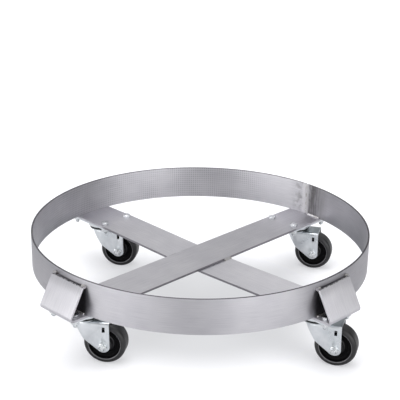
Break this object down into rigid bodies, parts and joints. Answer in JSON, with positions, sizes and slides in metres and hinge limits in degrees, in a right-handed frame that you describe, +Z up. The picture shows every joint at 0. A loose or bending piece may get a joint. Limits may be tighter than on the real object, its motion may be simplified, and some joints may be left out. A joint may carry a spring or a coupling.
{
  "type": "drum dolly",
  "caption": "Low round drum dolly: flat steel ring on crossed bars with turned-up ends and a swivel caster under each bar end.",
  "frame": {"origin": "on the floor, under the centre of the ring", "axes": "+Z up; the upper bar runs along X and the lower bar along Y; every fork trails towards -Y and +X at rest"},
  "size_m": [0.681, 0.6898, 0.168],
  "materials": {
    "sheet_steel": "satin 2B stainless sheet",
    "bar_steel": "satin stainless flat bar",
    "weld": "ground and brushed weld bead",
    "zinc_plate": "bright zinc plated pressed steel",
    "zinc_fastener": "bright zinc plated fastener",
    "ball_steel": "polished steel",
    "sintered_bush": "oiled sintered bush",
    "hard_rubber": "moulded hard rubber"
  },
  "bodies": {
    "frame": {"ring": "sheet_steel", "ring_seam_weld": "weld", "ring_welds": "weld", "upper_bar": "bar_steel", "lower_bar": "bar_steel", "crossing_welds": "weld", "end_tack_welds": "weld", "caster_bolts": "zinc_fastener", "caster_nuts": "zinc_fastener", "top_plate_left": "zinc_plate", "kingpin_left": "zinc_plate", "upper_balls_left": "ball_steel", "lower_balls_left": "ball_steel", "lower_race_left": "zinc_plate", "top_plate_right": "zinc_plate", "kingpin_right": "zinc_plate", "upper_balls_right": "ball_steel", "lower_balls_right": "ball_steel", "lower_race_right": "zinc_plate", "top_plate_front": "zinc_plate", "kingpin_front": "zinc_plate", "upper_balls_front": "ball_steel", "lower_balls_front": "ball_steel", "lower_race_front": "zinc_plate", "top_plate_rear": "zinc_plate", "kingpin_rear": "zinc_plate", "upper_balls_rear": "ball_steel", "lower_balls_rear": "ball_steel", "lower_race_rear": "zinc_plate"},
    "swivel_left": {"fork_left": "zinc_plate", "axle_bolt_left": "zinc_fastener", "axle_nut_left": "zinc_fastener", "axle_sleeve_left": "ball_steel"},
    "roller_left": {"wheel_left": "hard_rubber", "hub_bush_left": "sintered_bush"},
    "swivel_right": {"fork_right": "zinc_plate", "axle_bolt_right": "zinc_fastener", "axle_nut_right": "zinc_fastener", "axle_sleeve_right": "ball_steel"},
    "roller_right": {"wheel_right": "hard_rubber", "hub_bush_right": "sintered_bush"},
    "swivel_front": {"fork_front": "zinc_plate", "axle_bolt_front": "zinc_fastener", "axle_nut_front": "zinc_fastener", "axle_sleeve_front": "ball_steel"},
    "roller_front": {"wheel_front": "hard_rubber", "hub_bush_front": "sintered_bush"},
    "swivel_rear": {"fork_rear": "zinc_plate", "axle_bolt_rear": "zinc_fastener", "axle_nut_rear": "zinc_fastener", "axle_sleeve_rear": "ball_steel"},
    "roller_rear": {"wheel_rear": "hard_rubber", "hub_bush_rear": "sintered_bush"}
  },
  "joints": [
    {"name": "swivel_left_turn", "type": "hinge", "parent": "frame", "child": "swivel_left", "pos_m": [-0.2785, 0, 0.0875], "axis": [0, 0, 1], "continuous": true},
    {"name": "wheel_left_roll", "type": "hinge", "parent": "swivel_left", "child": "roller_left", "pos_m": [-0.25725, -0.0315, 0.03675], "axis": [0.829, 0.5592, 0], "continuous": true},
    {"name": "swivel_right_turn", "type": "hinge", "parent": "frame", "child": "swivel_right", "pos_m": [0.2785, 0, 0.0875], "axis": [0, 0, 1], "continuous": true},
    {"name": "wheel_right_roll", "type": "hinge", "parent": "swivel_right", "child": "roller_right", "pos_m": [0.2975, -0.03291, 0.03675], "axis": [0.866, 0.5, 0], "continuous": true},
    {"name": "swivel_front_turn", "type": "hinge", "parent": "frame", "child": "swivel_front", "pos_m": [0, -0.2785, 0.0875], "axis": [0, 0, 1], "continuous": true},
    {"name": "wheel_front_roll", "type": "hinge", "parent": "swivel_front", "child": "roller_front", "pos_m": [0.01784, -0.31205, 0.03675], "axis": [0.8829, 0.4695, 0], "continuous": true},
    {"name": "swivel_rear_turn", "type": "hinge", "parent": "frame", "child": "swivel_rear", "pos_m": [0, 0.2785, 0.0875], "axis": [0, 0, 1], "continuous": true},
    {"name": "wheel_rear_roll", "type": "hinge", "parent": "swivel_rear", "child": "roller_rear", "pos_m": [0.02125, 0.247, 0.03675], "axis": [0.829, 0.5592, 0], "continuous": true}
  ]
}
